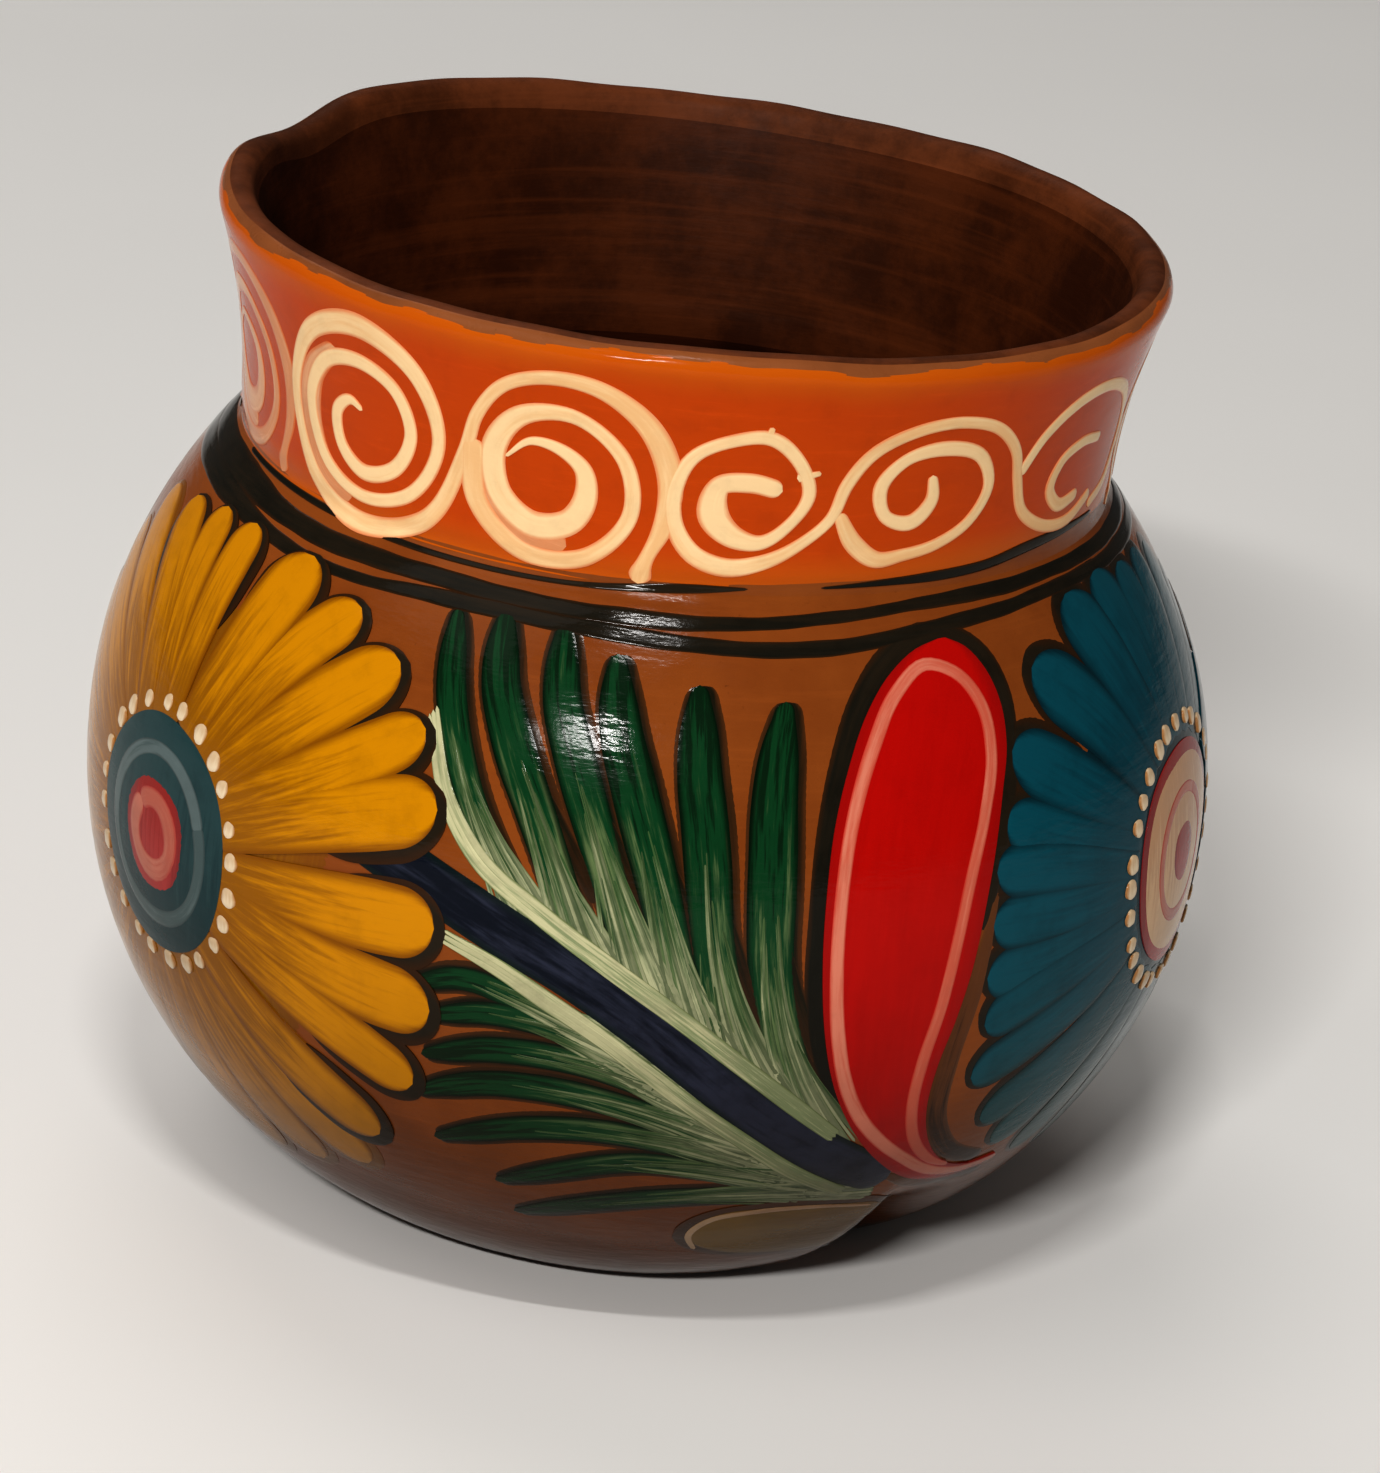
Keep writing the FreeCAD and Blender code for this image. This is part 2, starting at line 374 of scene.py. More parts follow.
ALONG = 0.09          # how much slower the bristle marks change along a stroke than by its seed
# Painted shade: the outside colours are darkened towards the foot, where less light reaches, to this depth
# and towards this colour.
FOOT_SHADE = 0.78           # how dark the painted shade is at the foot, 0 to 1
FOOT_SHADE_COLOUR = (0.006, 0.003, 0.001)
LINING_ROUGH = 0.5    # the wiped inside has no varnish
SPECULAR = 0.08       # the varnish is thin, and shines less than bare glass would


class Recipe:
    """A material being built from short calls.  Colours are linear red, green and blue."""

    def __init__(self, name):
        self.material = bpy.data.materials.new(name)
        self.material.use_nodes = True
        self.tree = self.material.node_tree
        self.shader = self.tree.nodes["Principled BSDF"]
        self.shader.inputs["Specular IOR Level"].default_value = SPECULAR

    def join(self, value, socket):
        if isinstance(value, bpy.types.NodeSocket):
            self.tree.links.new(value, socket)
        elif socket.type == "RGBA":
            socket.default_value = (*value[:3], 1.0)
        else:
            socket.default_value = value

    def node(self, kind, inputs, **settings):
        made = self.tree.nodes.new(kind)
        for key, value in settings.items():
            setattr(made, key, value)
        for socket, value in inputs.items():
            self.join(value, made.inputs[socket])
        return made

    def attribute(self, label):
        return self.node("ShaderNodeAttribute", {}, attribute_name=label).outputs["Vector"]

    def level(self, label):
        return self.node("ShaderNodeAttribute", {}, attribute_name=label).outputs["Fac"]

    def split(self, vector):
        return self.node("ShaderNodeSeparateXYZ", {"Vector": vector}).outputs

    def scaled(self, vector, amounts):
        return self.node("ShaderNodeVectorMath", {0: vector, 1: amounts}, operation="MULTIPLY").outputs[0]

    def place(self):
        """The place on the pot in millimetres."""
        return self.scaled(self.node("ShaderNodeTexCoord", {}).outputs["Object"], (1000.0,) * 3)

    def noise(self, vector, scale, detail=3.0, roughness=0.55):
        inputs = {"Vector": vector, "Scale": scale, "Detail": detail, "Roughness": roughness}
        return self.node("ShaderNodeTexNoise", inputs).outputs[0]

    def maths(self, operation, first, second=0.0):
        return self.node("ShaderNodeMath", {0: first, 1: second}, operation=operation).outputs[0]

    def ramp(self, value, start, end, low=0.0, high=1.0):
        inputs = {"Value": value, "From Min": start, "From Max": end, "To Min": low, "To Max": high}
        return self.node("ShaderNodeMapRange", inputs, interpolation_type="SMOOTHSTEP").outputs[0]

    def mix(self, share, first, second):
        return self.node("ShaderNodeMix", {0: share, 6: first, 7: second}, data_type="RGBA").outputs[2]

    def painted_foot_shade(self, shade, place, shade_colour=FOOT_SHADE_COLOUR, most=FOOT_SHADE):
        """Painted shade: darken the colour towards the foot, where less light falls."""
        cloud = self.maths("MULTIPLY", self.noise(place, 0.06, 4.0, 0.6), 26.0)
        level = self.maths("ADD", self.split(place)[2], cloud)
        return self.mix(self.ramp(level, 68.0, 16.0, 0.0, most), shade, shade_colour)

    def varnish(self, place, low, high, relief, fine):
        """Uneven gloss; relief is the height in mm of the ripple, fine is another height map."""
        patches = self.noise(place, 0.16, 4.0, 0.6)
        self.join(self.ramp(patches, 0.3, 0.72, low, high), self.shader.inputs["Roughness"])
        ripple = self.noise(self.scaled(place, (0.22, 0.22, 0.85)), 1.0, 3.0, 0.55)
        grain = self.noise(place, 2.6, 2.0, 0.5)
        height = self.maths("ADD", ripple, self.maths("MULTIPLY", grain, 0.12))
        height = self.maths("ADD", height, self.maths("MULTIPLY", fine, 0.12))
        inputs = {"Strength": 1.0, "Distance": relief * MM, "Height": height}
        self.join(self.node("ShaderNodeBump", inputs).outputs[0], self.shader.inputs["Normal"])


def paint(name, colour, other, change=(0.2, 0.8), edge=None, streak=0.5, gloss=(0.09, 0.19),
          fineness=1.6, uneven=0.3, relief=0.05, vary=0.0, foot_shading=(FOOT_SHADE_COLOUR, FOOT_SHADE), tip=None):
    """Brushed paint under varnish.

    colour turns into other along each stroke between the two places in change; streak is how far
    the bristles drag one colour into the other.  edge is the colour of the thin rim of a stroke,
    and tip a colour in which each stroke starts.  fineness is how close the bristle marks lie,
    uneven how blotchy the coat is, relief the height of its ripple in mm, and vary how much darker
    some strokes are than others.  smoked is the colour of the painted shade that darkens the
    paint near the foot, and how far it does so.
    """
    r = Recipe(name)
    t, v, seed = r.split(r.attribute("mark"))
    flow = r.attribute("flow")
    place = r.place()
    bristles = r.noise(r.scaled(flow, (ALONG, fineness, 1.0)), 1.0, 4.0, 0.62)
    drag = r.maths("MULTIPLY", r.maths("SUBTRACT", bristles, 0.5), streak * 4)
    along = r.maths("ADD", t, drag)
    shade = r.mix(r.ramp(along, *change), colour, other)
    cloud = r.noise(place, 0.22, 5.0, 0.65)
    dark = tuple(c * 0.55 for c in colour)
    shade = r.mix(r.maths("MULTIPLY", r.ramp(cloud, 0.45, 0.75), uneven), shade, dark)
    worn = r.noise(r.scaled(flow, (0.16, fineness * 1.7, 1.0)), 1.0, 5.0, 0.7)
    light = tuple(min(1.0, c * 1.35 + 0.004) for c in colour)
    shade = r.mix(r.maths("MULTIPLY", r.ramp(worn, 0.52, 0.8), uneven * 1.3), shade, light)
    if vary:
        shade = r.mix(r.maths("MULTIPLY", seed, vary), shade, dark)
    if tip is not None:
        shade = r.mix(r.ramp(along, 0.26, 0.02, 0.0, 0.8), shade, tip)
    if edge is not None:
        rim = r.maths("ADD", r.maths("ABSOLUTE", v), r.maths("MULTIPLY", drag, 0.22))
        shade = r.mix(r.ramp(rim, 0.62, 1.02), shade, edge)
    # Painted shade darkens the paint towards the foot.
    r.join(r.painted_foot_shade(shade, place, *foot_shading), r.shader.inputs["Base Color"])
    r.varnish(place, *gloss, relief, bristles)
    return r.material


def clay(name, outside, shadow, inside, gloss):
    """Fired clay: varnished outside with painted shade towards the foot, wiped and dusty inside."""
    r = Recipe(name)
    place = r.place()
    cloud = r.noise(place, 0.05, 5.0, 0.6)
    shade = r.mix(r.ramp(cloud, 0.35, 0.7, 0.0, 0.55), outside, shadow)
    wiped = r.noise(r.scaled(place, (0.05, 0.05, 0.9)), 1.0, 4.0, 0.6)
    shade = r.mix(r.ramp(wiped, 0.5, 0.8, 0.0, 0.35), shade, tuple(c * 1.3 for c in outside))
    pits = r.noise(place, 1.1, 5.0, 0.8)
    shade = r.mix(r.ramp(pits, 0.62, 0.74, 0.0, 0.5), shade, tuple(c * 0.35 for c in shadow))
    dust = r.noise(place, 0.07, 6.0, 0.7)
    smoke = tuple(c * 0.45 for c in inside)
    within = r.mix(r.ramp(dust, 0.36, 0.66), smoke, inside)
    rings = r.noise(r.scaled(place, (0.02, 0.02, 0.55)), 1.0, 3.0, 0.6)
    within = r.mix(r.ramp(rings, 0.48, 0.75, 0.0, 0.4), within, tuple(c * 1.6 for c in inside))
    lining = r.ramp(r.level("lining"), 0.4, 0.6)
    # The outside is darkened towards the foot by painted shade.
    r.join(r.mix(lining, r.painted_foot_shade(shade, place), within), r.shader.inputs["Base Color"])
    r.varnish(place, *gloss, 0.07, r.noise(place, 1.2, 4.0, 0.6))
    varnished = r.shader.inputs["Roughness"].links[0].from_socket
    rough = r.maths("ADD", r.maths("MULTIPLY", lining, LINING_ROUGH - gloss[0]), varnished)
    r.join(rough, r.shader.inputs["Roughness"])
    return r.material


BROWN = (0.230, 0.062, 0.011)
BLACK = (0.010, 0.009, 0.006)

clay_skin = clay("clay_varnished", BROWN, (0.145, 0.034, 0.006), (0.070, 0.017, 0.004), (0.10, 0.21))
lip_skin = clay("clay_wiped", (0.25, 0.082, 0.026), (0.12, 0.036, 0.011), (0.13, 0.036, 0.011), (0.16, 0.34))


# ---------------- the clay pieces

INNER_FOOT_S = SEAM_S + BELLY_ARC * math.asin((FLOOR_Z - BELLY_Z) / (BELLY_ARC - WALL))
LIP_ROWS = 20


def ring(radius, height):
    """A true circle of points."""
    return np.stack([radius * np.sin(COLUMNS), -radius * np.cos(COLUMNS), np.full(AROUND, float(height))],
                    axis=-1)


def wall(name, start, end, skin, before=(), after=()):
    """One turned piece of the wall, between two lengths along the outline.

    before holds rings that close the piece at its foot, and after rings that close it at its top.
    """
    count = max(3, int((end - start) / ROW))
    outer = [on_pot(COLUMNS, s) for s in np.linspace(start, end, count)]
    inner_start = max(start, INNER_FOOT_S)
    inner = [on_pot(COLUMNS, s, -WALL, 1.0) for s in np.linspace(end, inner_start, count)]
    rows = outer + list(after) + inner + list(before)
    lining = [0.0] * len(outer) + [0.6] * len(after) + [1.0] * len(inner) + [1.0] * len(before)
    return lathe(name, rows, lining, skin)


disc_rows = ([np.zeros((1, 3))] + [ring(r, 0.0) for r in (8, 16, 24, 29.6, FLOOR_R)]
             + [ring(r, FLOOR_Z) for r in (FLOOR_R, 24, 16, 8)] + [np.array([[0.0, 0.0, FLOOR_Z]])])
base = lathe("base_disc_clay", disc_rows, [0.0] * 6 + [1.0] * 5, clay_skin)
bowl = wall("lower_bowl_clay", 0.0, SEAM_S, clay_skin,
            before=[ring(FLOOR_R, FLOOR_Z), ring(FLOOR_R, 0.0)])
shoulder = wall("shoulder_clay", SEAM_S, NECK_S, clay_skin)
collar = wall("neck_collar_clay", NECK_S, LIP_S, clay_skin)

lip_rows = [on_pot(COLUMNS, s) for s in np.linspace(LIP_S, ROUND_S + WALL / 2 * math.pi, LIP_ROWS)]
lip_rows += [on_pot(COLUMNS, s, -WALL, 1.0) for s in (LIP_S + 0.75, LIP_S)]
half_way = len(lip_rows) // 2
lip = lathe("lip_clay", lip_rows, [0.0] * half_way + [1.0] * half_way, lip_skin)

for piece, node in ((base, "base_disc"), (bowl, "lower_bowl"), (shoulder, "shoulder"),
                    (collar, "neck_collar")):
    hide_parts(node)
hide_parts("lip_coil")


# ---------------- slip and bands

def edge_noise(azimuth, size, seed):
    """A hand-cut edge: waves of several lengths that close up round the pot."""
    return size * (np.sin(9 * azimuth + seed) + 0.7 * np.sin(17 * azimuth + 2 * seed)
                   + 0.5 * np.sin(31 * azimuth + 3 * seed) + 0.35 * np.sin(57 * azimuth + 5 * seed)) / 2


def round_table(points, azimuth):
    """A value read off given (degrees, value) points, smoothly and right round the pot."""
    degrees, *values = np.array(sorted(points), float).T
    turned = np.degrees(wrap(azimuth))[:, None] + np.linspace(-7, 7, 9)
    return np.stack([np.interp(turned, degrees, value, period=360).mean(axis=1) for value in values])


SLIP_FOOT = (
    (-57, 103.7), (-12, 103.8), (5, 104.8), (34, 105.8), (57, 107), (100, 106), (180, 104.5), (-120, 104))
orange = Coat("orange_slip", "orange_slip", 0.0, 0.10, paint(
    "slip_orange", (0.5, 0.062, 0.001), (0.43, 0.047, 0.001), change=(0, 1), streak=0.1, uneven=0.22,
    fineness=0.5, edge=(0.48, 0.095, 0.004)))
orange.ring_band(lambda a: round_table(SLIP_FOOT, a)[0] + edge_noise(a, 0.12, 1.0),
                 lambda a: ROUND_S + 1.9 + edge_noise(a, 0.55, 2.0), across=61)
orange_piece = orange.make()
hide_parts("orange_slip_coat")

# Bands: degrees round the pot, middle of the stroke as a length s, half width.
UPPER_BAND = (
    (-80, 101.9, 1.7), (-66, 101.6, 1.9), (-57, 101.1, 1.4), (-49, 100.5, 1.15), (-40, 100.75, 1.15),
    (-32, 100.9, 1.15), (-25, 100.9, 1.1), (-13, 100.65, 1.05), (-1, 100.6, 1), (5, 100.7, 0.88),
    (11, 100.8, 0.85), (23, 102, 0.75), (34, 102.8, 0.7), (46, 102.8, 1), (60, 103, 0.9),
    (100, 102, 0.8), (150, 101.4, 1), (-150, 101.6, 0.8), (-110, 101.8, 1.1))
LOWER_BAND = (
    (-80, 99.4, 1.7), (-66, 99.1, 1.7), (-57, 98.3, 1.1), (-47, 97.7, 0.65), (-38, 97.9, 0.6),
    (-31, 98.5, 0.85), (-25, 99.1, 1.1), (-19, 99.1, 1.08), (-13, 99, 1.05), (-6, 98.85, 1),
    (-1, 98.6, 0.95), (5, 98.15, 0.95), (11, 98, 1), (22, 98.3, 1), (30, 99.6, 0.85), (40, 100.1, 0.85),
    (57, 101.1, 0.9), (80, 100.6, 0.9), (120, 98.8, 0.8), (160, 98.4, 1), (-160, 98.7, 0.8),
    (-115, 98.9, 1))
black_skin = paint("line_black", BLACK, (0.02, 0.014, 0.008), streak=0.3, uneven=0.4,
                   edge=(0.035, 0.014, 0.005), fineness=1.0, gloss=(0.06, 0.14))
bands = Coat("black_bands", "black_paint", 0.0, 0.06, black_skin)


def wavy_band(coat, points, seed):
    def side(sign):
        def edge(azimuth):
            middle, half = round_table(points, azimuth)
            return middle + sign * half + edge_noise(azimuth, 0.13, seed + sign)
        return edge
    coat.ring_band(side(-1), side(1), across=9, seed=seed)


wavy_band(bands, UPPER_BAND, 0.2)
wavy_band(bands, LOWER_BAND, 0.6)
bands_piece = bands.make()
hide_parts("black_band_coat")

hairline = Coat("slip_edge_line", "black_paint", 0.11, 0.05, black_skin)
hairline.stroke(0.0, ((-62, 103.9, 0.3), (-40, 103.6, 0.42), (-25, 103.3, 0.35), (-10, 103.5, 0.3),
                      (4, 104.7, 0.5), (9, 105, 0.12)))
hairline.stroke(0.0, ((17, 105.2, 0.12), (25, 105.5, 0.4), (31, 105.6, 0.6), (38, 105.9, 0.6),
                      (44, 106.7, 0.7), (52, 107, 0.5), (60, 107.1, 0.2)))
hairline.stroke(math.pi, (
    (-80, 105.6, 0.2), (-40, 104.9, 0.5), (0, 104.3, 0.35), (50, 104.1, 0.5), (80, 104, 0.2)))
hairline.make()


# ---------------- spirals on the neck

cream = Coat("cream_spirals", "cream_slip", 0.14, 0.07, paint(
    "slip_cream", (0.84, 0.59, 0.32), (0.76, 0.45, 0.21), change=(0.2, 1.1),
    edge=(0.7, 0.25, 0.1), uneven=0.2, fineness=0.9, relief=0.06))


def spiral(centre, start, radii, turn, widths, tail=()):
    """A spiral given by its radius at each quarter turn, as stroke points, and then its tail.

    start is the angle of the inner end in degrees, turn is 1 for anticlockwise; widths are half
    widths, evenly spread from the inner end to the outer one.
    """
    steps = len(radii) * 2 - 1
    angle = np.radians(start + turn * 45.0 * np.arange(steps))
    reach = np.interp(np.arange(steps) / 2, np.arange(len(radii)), radii)
    half = np.interp(np.linspace(0, 1, steps), np.linspace(0, 1, len(widths)), widths)
    points = [(centre[0] + r * math.cos(a), centre[1] + r * math.sin(a), w)
              for a, r, w in zip(angle, reach, half)]
    return points + list(tail)


def spiral_pair(home, flip, slip):
    """Two spirals joined by a curve that passes over the second one; flip -1 mirrors the pair."""
    first = spiral((-12.5, 116), 90, (1, 4, 6.2, 7, 6.9, 8.8, 9, 10.7, 11.4, 12, 12.1, 14), 1,
                   (0.35, 0.9, 1, 0.9, 1, 1.1, 0.8, 0.9, 1.6, 1, 1.3, 0.9),
                   ((3.1, 121, 0.8), (6.5, 125.3, 0.8), (11.5, 127.2, 0.9), (17, 126.8, 1.1),
                    (22, 123.2, 1.4), (24.3, 117, 1.4), (23.7, 111.5, 1.1), (21.9, 106.9, 0.9),
                    (21.5, 105.4, 1.25), (21.4, 104.6, 1.1)))
    second = spiral((11.5, 115), 162, (5.4, 3.9, 4.1, 5.9, 6.9, 8.4, 9.1, 9.3, 9.5), -1,
                    (0.2, 0.8, 1.3, 1.6, 1.5, 0.9, 0.9, 1.1, 1.6))
    first_wash = (
        (-16.5, 123.4, 1.2), (-20.8, 119, 1.9), (-21.5, 113, 2.1), (-18.9, 108.2, 2), (-14, 106.2, 1.2))
    second_wash = ((4.1, 117, 0.9), (4.9, 112, 1.7), (8.5, 108.8, 1.9), (13.5, 107.6, 1.2))
    for coat, line, ends, raised in (
            (slip, first, (1, 1), 0.0), (slip, second, (0.1, 1), 0.02),
            (wash, first_wash, (1, 1), 0.0), (wash, second_wash, (1, 1), 0.0)):
        flipped = [(flip * x, s, w) for x, s, w in line]
        coat.stroke(home, flipped, ends=ends, step=0.5, raise_by=raised)


wash = Coat("cream_wash", "cream_slip", 0.12, 0.04, paint(
    "slip_wash", (0.7, 0.36, 0.19), (0.62, 0.25, 0.11), change=(0, 0.9), streak=0.7,
    edge=(0.58, 0.13, 0.03), fineness=0.9))
for number, degrees in enumerate((-27.8, 106, 163, 219, 275)):
    spiral_pair(math.radians(degrees), -1 if number in (1, 3) else 1, wash if number == 4 else cream)
cream.stroke(0.0, (
    (11.6, 116.6, 1.1), (8, 117.4, 1.2), (5, 116.9, 1.2), (4.5, 113.4, 1.7), (6.4, 111.2, 1.4),
    (9.6, 110.4, 0.9), (12.8, 112.8, 0.7), (14.5, 116.2, 0.8), (13.2, 120, 0.8), (9.9, 122.9, 0.9),
    (5.8, 122.3, 0.8), (1.9, 120, 0.8), (0.3, 116, 0.9), (0.7, 111.5, 1), (2.8, 108.6, 1.1),
    (6, 107.4, 1.1), (10.4, 108.2, 0.9), (14.4, 110.6, 0.7), (17.2, 113.4, 0.7), (18.6, 117.4, 0.8),
    (21.2, 121.2, 0.8), (26, 123.9, 0.8), (32, 124.7, 0.8), (37, 123.2, 0.8), (40, 119.8, 0.8),
    (41, 115.8, 0.8), (42.4, 111.8, 0.8), (46, 109.2, 0.8), (52, 108.2, 0.8), (58, 110.2, 0.8)),
    step=0.5, raise_by=0.01)
cream.stroke(0.0, ((9.3, 122.2, 0.6), (9.9, 124.3, 0.3)), ends=(0.5, 0.5))
cream.stroke(0.0, ((13, 118.2, 0.6), (15.6, 118.9, 0.3)), ends=(0.5, 0.5))
cream.stroke(0.0, (
    (28.7, 118.2, 0.6), (28.9, 115, 0.9), (26.5, 112.5, 1), (23.5, 113.4, 0.8), (22.5, 116.8, 0.9),
    (25, 120.2, 0.8), (30, 121.5, 1), (34.8, 120, 0.9), (36.5, 116, 0.8), (34.5, 112, 0.75),
    (30.5, 109.6, 0.75), (26, 108.6, 0.8), (22.9, 108.3, 1), (20.2, 110.2, 1.1), (18, 114, 0.7)),
    step=0.5, raise_by=0.02)
cream.stroke(0.0, (
    (58, 117.5, 0.7), (53, 118, 0.8), (48.8, 116.4, 0.8), (47.3, 113.2, 0.9), (49.3, 110.9, 0.9),
    (54, 111.2, 0.8)), step=0.5, raise_by=0.02)
cream.stroke(0.0, ((41.2, 116.5, 0.7), (44.8, 121, 0.8), (51, 124.4, 0.9), (58, 124.6, 0.9), (64, 121.5, 0.9),
                   (66.5, 116, 0.8), (64, 110.5, 0.8), (58, 108.4, 0.7)), step=0.5)
cream.make()
wash.make()


# ---------------- flowers

dark_line = Coat("petal_outlines", "black_paint", 0.0, 0.04, black_skin)
yellow = Coat("yellow_petals", "yellow_paint", 0.06, 0.04, paint(
    "petal_yellow", (0.26, 0.095, 0.002), (0.53, 0.212, 0.001), change=(0.05, 0.75), streak=0.42,
    edge=(0.2, 0.064, 0.001), uneven=0.2, fineness=1.3))
ground = Coat("yellow_ground", "yellow_paint", 0.0, 0.04, paint(
    "petal_ground", (0.25, 0.098, 0.002), (0.21, 0.074, 0.003), streak=0.4, uneven=0.4,
    edge=(0.18, 0.056, 0.004)))
blue_ground = Coat("blue_ground", "blue_paint", 0.0, 0.03, paint(
    "petal_blue_ground", (0.003, 0.028, 0.038), (0.003, 0.02, 0.026), streak=0.4, uneven=0.4))
# The blue turns a darker green near the foot: painted shade.
blue = Coat("blue_petals", "blue_paint", 0.06, 0.04, paint(
    "petal_blue", (0.004, 0.05, 0.07), (0.004, 0.07, 0.095), change=(0.1, 0.9), streak=0.45,
    edge=(0.003, 0.022, 0.03), fineness=1.3, relief=0.07, foot_shading=((0.009, 0.022, 0.01), 0.95)))
tan_skin = paint("eye_tan", (0.62, 0.4, 0.23), (0.5, 0.28, 0.15))
eye_teal = Coat("eye_teal", "blue_paint", 0.13, 0.03, paint(
    "eye_teal", (0.012, 0.036, 0.04), (0.02, 0.052, 0.055), uneven=0.35, fineness=1.0))
eye_tan = Coat("eye_tan", "cream_slip", 0.13, 0.03, tan_skin)
eye_grey = Coat("eye_rings", "cream_slip", 0.16, 0.03, paint(
    "eye_grey", (0.1, 0.135, 0.135), (0.06, 0.09, 0.09), streak=0.6, fineness=1.2,
    edge=(0.04, 0.06, 0.06)))
eye_red = Coat("eye_red", "red_paint", 0.16, 0.03, paint(
    "eye_red", (0.34, 0.03, 0.026), (0.26, 0.016, 0.012), edge=(0.2, 0.02, 0.02)))
eye_pink = Coat("eye_pink", "red_paint", 0.19, 0.03, paint(
    "eye_pink", (0.46, 0.15, 0.1), (0.4, 0.1, 0.065), fineness=1.4,
    edge=(0.34, 0.04, 0.03)))
dots = Coat("flower_dots", "cream_slip", 0.12, 0.13, paint(
    "dot_cream", (0.72, 0.58, 0.4), (0.58, 0.42, 0.26), streak=0.3, edge=(0.36, 0.17, 0.06), uneven=0.2))


def loop(coat, home, centre, radius, half, start, raise_by=0.0):
    """A painted ring; the brush starts and ends at the same place and overlaps a little."""
    angle = np.radians(start + np.linspace(0, 366, 25))
    line = [(centre[0] + radius * math.cos(a), centre[1] + radius * math.sin(a),
             half * (1 + 0.1 * math.sin(3 * a))) for a in angle]
    coat.stroke(home, line, step=0.7, raise_by=raise_by)


OVER_LEAF = 0.19      # petals beside a feather leaf are painted over the start of its stem


def petals(coat, under, home, centre, tips, root, half, shadow, raise_by=0.0):
    """Rounded dabs from the eye outwards, each over a larger dab of another coat.

    tips lists (reach, degrees) for each petal, and its own half width where it differs; shadow is
    how far the under dab is set off, as (x, s).
    """
    for number, (reach, degrees, *own) in enumerate(tips):
        bend = 1.6 * math.sin(2.1 * number)
        fat = own[0] if own else half * (1 + 0.09 * math.sin(3.3 * number + 1))
        raised = raise_by + 0.004 * (number * 5 % 7)

        def along(rho, extra, shift=(0, 0)):
            a = math.radians(degrees + bend * math.sin(math.pi * (rho - root) / (reach - root)))
            return (centre[0] + rho * math.cos(a) + shift[0], centre[1] + rho * math.sin(a) + shift[1], extra)

        span = reach - root
        line = [along(root, 0.55 * fat), along(root + 0.25 * span, 0.74 * fat),
                along(root + 0.5 * span, 0.9 * fat), along(root + 0.75 * span, 1.0 * fat),
                along(reach, 0.92 * fat)]
        coat.stroke(home, line, ends=(0.3, 1), raise_by=raised, seed=(number * 0.618 + home) % 1.0,
                    step=0.6, across=13)
        inner = root + 0.4 * span
        dark = [along(inner, 0.3 * fat, shadow), along(inner + 0.2 * span, 0.9 * fat + 0.6, shadow),
                along(root + 0.8 * span, 1.0 * fat + 1.0, shadow),
                along(reach + 0.8, 0.92 * fat + 0.9, shadow)]
        under.stroke(home, dark, ends=(0.2, 1), raise_by=raise_by, step=0.6, across=13)


def dotted_ring(home, centre, radius, count, start=0.0, raise_by=0.0):
    for number in range(count):
        a = math.radians(start + 360.0 * number / count + 1.5 * math.sin(4 * number))
        spot = (centre[0] + radius * math.cos(a), centre[1] + radius * math.sin(a))
        dots.disc(home, spot, 1.05 + 0.12 * math.sin(5 * number), uneven=0.05, raise_by=raise_by)


def teal_eye(home, centre, radii, starts, pink_half, raise_by=0.0):
    """A teal eye with a grey ring, a red middle and a pink ring; radii go from the outside in.

    starts holds the degrees at which the brush starts the two rings.
    """
    teal, grey, red, pink = radii
    eye_teal.disc(home, centre, teal, uneven=0.012, raise_by=raise_by)
    loop(eye_grey, home, centre, grey, 0.95, starts[0], raise_by)
    eye_red.disc(home, centre, red, uneven=0.02, raise_by=raise_by)
    loop(eye_pink, home, centre, pink, pink_half, starts[1], raise_by)


YELLOW_HOME, YELLOW_CENTRE = math.radians(-55), (0, 61.5)
YELLOW_TIPS = (
    (40.8, -42), (41.6, -25), (41.9, -10), (41.6, 3.5, 4.2), (41.7, 21.5, 4.2), (41.2, 34.5), (40.2, 47),
    (38.8, 60), (38, 75.5, 4.5), (36.8, 93, 3.2), (37.3, 104, 3.2), (38.5, 117))
YELLOW_FAR_TIPS = [(42.3 + 0.6 * math.sin(2 * k), 131.5 + 13.4 * k, 4.5) for k in range(14)]
ground.disc(YELLOW_HOME, YELLOW_CENTRE, 29.0, uneven=0.03)
petals(yellow, dark_line, YELLOW_HOME, YELLOW_CENTRE, YELLOW_TIPS, 13.0, 3.9, (0.5, -0.4), OVER_LEAF)
petals(yellow, ground, YELLOW_HOME, YELLOW_CENTRE, YELLOW_FAR_TIPS, 13.0, 4.4, (0.3, -0.3), 0.04)
teal_eye(YELLOW_HOME, YELLOW_CENTRE, (13.6, 9.7, 6.5, 4.1), (20, 130), 1.3, OVER_LEAF)
dotted_ring(YELLOW_HOME, YELLOW_CENTRE, 14.9, 24, 8.0, OVER_LEAF)

BLUE_HOME, BLUE_CENTRE = math.radians(71), (0, 65)
BLUE_TIPS = (
    (36, 62), (35, 75), (34.5, 88), (36, 99, 4.2), (37.2, 111, 4.8), (37.4, 131, 4.8), (37.9, 148, 4.2),
    (37.6, 160, 3.6), (38.4, 169, 3.2), (38.4, 178, 3.3), (38.9, 187, 3.2), (39, 196, 3.2), (40.6, 206, 3.4),
    (39.8, 219), (39.5, 231), (39, 244), (39, 258), (39, 273), (39, 288), (39, 303), (39, 318), (36, 47))
BLUE_FAR_TIPS = ((39, 333), (38, 348), (37, 4), (36, 19), (36, 33))
blue_ground.disc(BLUE_HOME, BLUE_CENTRE, 26.5, uneven=0.03)
petals(blue, dark_line, BLUE_HOME, BLUE_CENTRE, BLUE_TIPS, 13.5, 3.7, (-0.3, 0.5))
